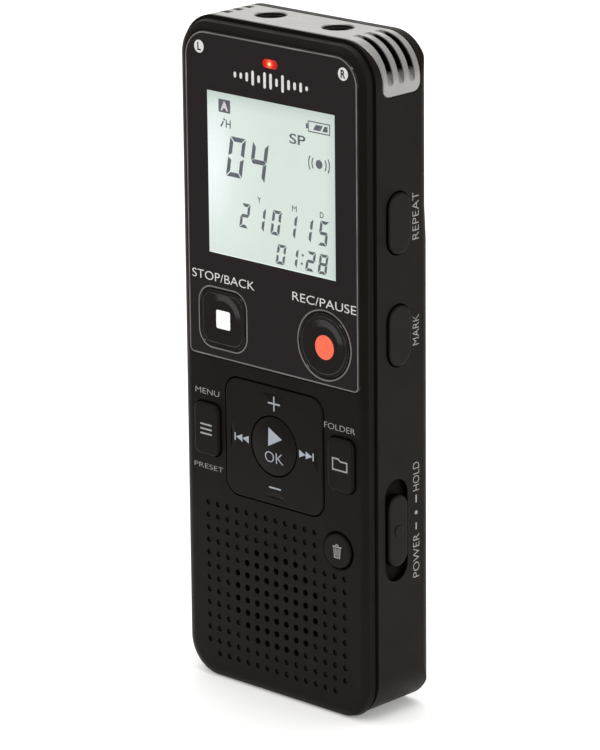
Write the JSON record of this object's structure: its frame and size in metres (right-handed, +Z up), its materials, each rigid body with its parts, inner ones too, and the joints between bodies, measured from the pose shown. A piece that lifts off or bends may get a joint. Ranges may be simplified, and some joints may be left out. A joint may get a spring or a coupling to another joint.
{
  "type": "handheld voice recorder",
  "caption": "Slim upright pocket voice recorder with a lit display, raised function keys, a four-way pad, a dotted speaker grille and a silver band with jacks over the top.",
  "frame": {"origin": "bottom centre of the bounding box, on the lowest plane of the recorder's lower end", "axes": "+Z up along the recorder from its lower end to the jacks, -Y out of the display side, +X to the right seen from the display side"},
  "size_m": [0.0386, 0.0136, 0.1015],
  "materials": {
    "shell_black": "fine matte moulded grain",
    "panel_black": "high gloss, back printed",
    "window_clear": "polished clear acrylic",
    "trim_silver": "satin",
    "key_black": "gloss with a bevelled rim",
    "key_matte": "smooth matte",
    "led_red": "lit red lens",
    "lcd_green": "backlit reflective display glass",
    "white_plastic": "plain white moulding",
    "board_green": "solder mask",
    "chip_black": "moulded epoxy",
    "nickel": "plated steel",
    "jack_black": "moulded nylon",
    "foam_rubber": "soft foam or silicone",
    "mesh_cloth": "woven acoustic mesh",
    "magnet_dark": "plated",
    "cone_film": "thin pressed film",
    "pouch_foil": "wrapped foil pouch",
    "ink_white": "screen printed",
    "ink_grey": "screen printed",
    "ink_blue_grey": "screen printed",
    "ink_orange": "screen printed",
    "lcd_ink": "display segments",
    "flex_amber": "polyimide ribbon"
  },
  "bodies": {
    "case": {"front_shell": "shell_black", "rear_shell": "shell_black", "top_trim": "trim_silver", "front_panel": "panel_black", "display_window": "window_clear", "led_lens": "led_red", "slide_switch_body": "nickel", "main_board": "board_green", "key_switches": "nickel", "side_switches": "nickel", "lcd_glass": "lcd_green", "lcd_light_guide": "white_plastic", "lcd_frame": "white_plastic", "lcd_flex": "flex_amber", "record_led": "led_red", "mic_jack": "jack_black", "earphone_jack": "jack_black", "left_mic_capsule": "nickel", "right_mic_capsule": "nickel", "left_mic_boot": "foam_rubber", "right_mic_boot": "foam_rubber", "left_mic_mesh": "mesh_cloth", "right_mic_mesh": "mesh_cloth", "speaker_screen": "mesh_cloth", "speaker_gasket": "foam_rubber", "speaker_frame": "nickel", "speaker_cone": "cone_film", "speaker_magnet": "magnet_dark", "battery_pouch": "pouch_foil", "battery_pad": "foam_rubber", "usb_socket": "nickel", "processor_chip": "chip_black", "memory_chip": "chip_black", "clock_crystal": "nickel", "case_screws": "nickel", "board_screws": "nickel"},
    "stop_key": {"stop_button": "key_black"},
    "rec_key": {"rec_button": "key_black"},
    "menu_key": {"menu_button": "key_matte"},
    "folder_key": {"folder_button": "key_matte"},
    "delete_key": {"delete_button": "key_matte"},
    "ok_key": {"ok_button": "key_matte"},
    "nav_rocker": {"nav_rocker_ring": "foam_rubber"},
    "nav_plate": {"nav_pad": "key_matte"},
    "repeat_key": {"repeat_button": "key_matte"},
    "mark_key": {"mark_button": "key_matte"},
    "hold_switch": {"hold_slider": "key_matte", "slide_switch_lever": "jack_black"}
  },
  "joints": [
    {"name": "stop_press", "type": "slide", "parent": "case", "child": "stop_key", "axis": [0, 1, 0], "range_m": [0, 0.0003], "stiffness_N_per_m": 400, "springref_m": -0.002},
    {"name": "rec_press", "type": "slide", "parent": "case", "child": "rec_key", "axis": [0, 1, 0], "range_m": [0, 0.0003], "stiffness_N_per_m": 400, "springref_m": -0.002},
    {"name": "menu_press", "type": "slide", "parent": "case", "child": "menu_key", "axis": [0, 1, 0], "range_m": [0, 0.0003], "stiffness_N_per_m": 400, "springref_m": -0.002},
    {"name": "folder_press", "type": "slide", "parent": "case", "child": "folder_key", "axis": [0, 1, 0], "range_m": [0, 0.0003], "stiffness_N_per_m": 400, "springref_m": -0.002},
    {"name": "delete_press", "type": "slide", "parent": "case", "child": "delete_key", "axis": [0, 1, 0], "range_m": [0, 0.0003], "stiffness_N_per_m": 400, "springref_m": -0.002},
    {"name": "ok_press", "type": "slide", "parent": "case", "child": "ok_key", "axis": [0, 1, 0], "range_m": [0, 0.0003], "stiffness_N_per_m": 400, "springref_m": -0.002},
    {"name": "repeat_press", "type": "slide", "parent": "case", "child": "repeat_key", "axis": [-1, 0, 0], "range_m": [0, 0.0003], "stiffness_N_per_m": 400, "springref_m": -0.002},
    {"name": "mark_press", "type": "slide", "parent": "case", "child": "mark_key", "axis": [-1, 0, 0], "range_m": [0, 0.0003], "stiffness_N_per_m": 400, "springref_m": -0.002},
    {"name": "nav_tilt_up_down", "type": "hinge", "parent": "case", "child": "nav_rocker", "pos_m": [0, -0.0046, 0.0391], "axis": [1, 0, 0], "range_deg": [-1.3, 1.3], "stiffness_Nm_per_rad": 0.5},
    {"name": "nav_tilt_sideways", "type": "hinge", "parent": "nav_rocker", "child": "nav_plate", "pos_m": [0, -0.0046, 0.0391], "axis": [0, 0, 1], "range_deg": [-1.3, 1.3], "stiffness_Nm_per_rad": 0.5},
    {"name": "hold_slide", "type": "slide", "parent": "case", "child": "hold_switch", "axis": [0, 0, 1], "range_m": [-0.0021, 0.0021]}
  ]
}
